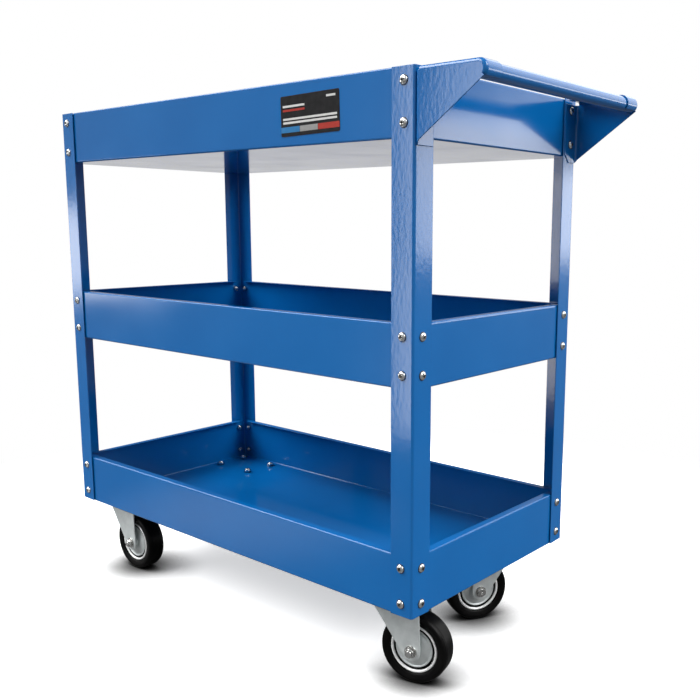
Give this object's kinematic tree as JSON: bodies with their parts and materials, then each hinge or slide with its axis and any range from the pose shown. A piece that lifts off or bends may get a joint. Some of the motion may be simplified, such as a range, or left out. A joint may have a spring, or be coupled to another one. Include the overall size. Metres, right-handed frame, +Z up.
{
  "type": "tool cart",
  "caption": "Three-tray steel tool cart with L-angle posts, an end push handle and four swivel casters.",
  "frame": {"origin": "on the floor, at the middle of the whole outline with the handle included", "axes": "+X along the cart towards the handle end, +Y across it to the right-hand side of a person pushing at the handle, +Z up"},
  "size_m": [0.9014, 0.392, 0.8275],
  "materials": {
    "blue_paint": "gloss powder coat",
    "zinc": "zinc plated, satin",
    "bright_steel": "bright zinc",
    "tyre": "satin",
    "label": "satin film"
  },
  "bodies": {
    "cart": {"post_rear_left": "blue_paint", "post_rear_right": "blue_paint", "post_front_left": "blue_paint", "post_front_right": "blue_paint", "tray_bottom": "blue_paint", "tray_middle": "blue_paint", "tray_top": "blue_paint", "handle_bracket_left": "blue_paint", "handle_bracket_right": "blue_paint", "handle_tube": "blue_paint", "label_plate": "label", "caster_plate_rear_left": "zinc", "ball_race_rear_left": "zinc", "kingpin_rear_left": "bright_steel", "caster_bolt_rear_left_1": "bright_steel", "caster_bolt_rear_left_2": "bright_steel", "caster_bolt_rear_left_3": "bright_steel", "caster_bolt_rear_left_4": "bright_steel", "caster_plate_rear_right": "zinc", "ball_race_rear_right": "zinc", "kingpin_rear_right": "bright_steel", "caster_bolt_rear_right_1": "bright_steel", "caster_bolt_rear_right_2": "bright_steel", "caster_bolt_rear_right_3": "bright_steel", "caster_bolt_rear_right_4": "bright_steel", "caster_plate_front_left": "zinc", "ball_race_front_left": "zinc", "kingpin_front_left": "bright_steel", "caster_bolt_front_left_1": "bright_steel", "caster_bolt_front_left_2": "bright_steel", "caster_bolt_front_left_3": "bright_steel", "caster_bolt_front_left_4": "bright_steel", "caster_plate_front_right": "zinc", "ball_race_front_right": "zinc", "kingpin_front_right": "bright_steel", "caster_bolt_front_right_1": "bright_steel", "caster_bolt_front_right_2": "bright_steel", "caster_bolt_front_right_3": "bright_steel", "caster_bolt_front_right_4": "bright_steel"},
    "swivel_rear_left": {"fork_rear_left": "zinc", "axle_bolt_rear_left": "bright_steel", "axle_nut_rear_left": "bright_steel"},
    "wheel_rear_left": {"wheel_core_rear_left": "zinc", "tyre_rear_left": "tyre"},
    "swivel_rear_right": {"fork_rear_right": "zinc", "axle_bolt_rear_right": "bright_steel", "axle_nut_rear_right": "bright_steel"},
    "wheel_rear_right": {"wheel_core_rear_right": "zinc", "tyre_rear_right": "tyre"},
    "swivel_front_left": {"fork_front_left": "zinc", "axle_bolt_front_left": "bright_steel", "axle_nut_front_left": "bright_steel"},
    "wheel_front_left": {"wheel_core_front_left": "zinc", "tyre_front_left": "tyre"},
    "swivel_front_right": {"fork_front_right": "zinc", "axle_bolt_front_right": "bright_steel", "axle_nut_front_right": "bright_steel"},
    "wheel_front_right": {"wheel_core_front_right": "zinc", "tyre_front_right": "tyre"}
  },
  "joints": [
    {"name": "caster_swivel_rear_left", "type": "hinge", "parent": "cart", "child": "swivel_rear_left", "pos_m": [0.26925, -0.134, 0.1], "axis": [0, 0, 1], "continuous": true},
    {"name": "wheel_spin_rear_left", "type": "hinge", "parent": "swivel_rear_left", "child": "wheel_rear_left", "pos_m": [0.30321, -0.12553, 0.051], "axis": [-0.2419, 0.9703, 0], "continuous": true},
    {"name": "caster_swivel_rear_right", "type": "hinge", "parent": "cart", "child": "swivel_rear_right", "pos_m": [0.26825, 0.121, 0.1], "axis": [0, 0, 1], "continuous": true},
    {"name": "wheel_spin_rear_right", "type": "hinge", "parent": "swivel_rear_right", "child": "wheel_rear_right", "pos_m": [0.25075, 0.09069, 0.051], "axis": [0.866, -0.5, 0], "continuous": true},
    {"name": "caster_swivel_front_left", "type": "hinge", "parent": "cart", "child": "swivel_front_left", "pos_m": [-0.38875, -0.141, 0.1], "axis": [0, 0, 1], "continuous": true},
    {"name": "wheel_spin_front_left", "type": "hinge", "parent": "swivel_front_left", "child": "wheel_front_left", "pos_m": [-0.35375, -0.14039, 0.051], "axis": [-0.0175, 0.9998, 0], "continuous": true},
    {"name": "caster_swivel_front_right", "type": "hinge", "parent": "cart", "child": "swivel_front_right", "pos_m": [-0.38275, 0.139, 0.1], "axis": [0, 0, 1], "continuous": true},
    {"name": "wheel_spin_front_right", "type": "hinge", "parent": "swivel_front_right", "child": "wheel_front_right", "pos_m": [-0.35594, 0.1165, 0.051], "axis": [0.6428, 0.766, 0], "continuous": true}
  ]
}
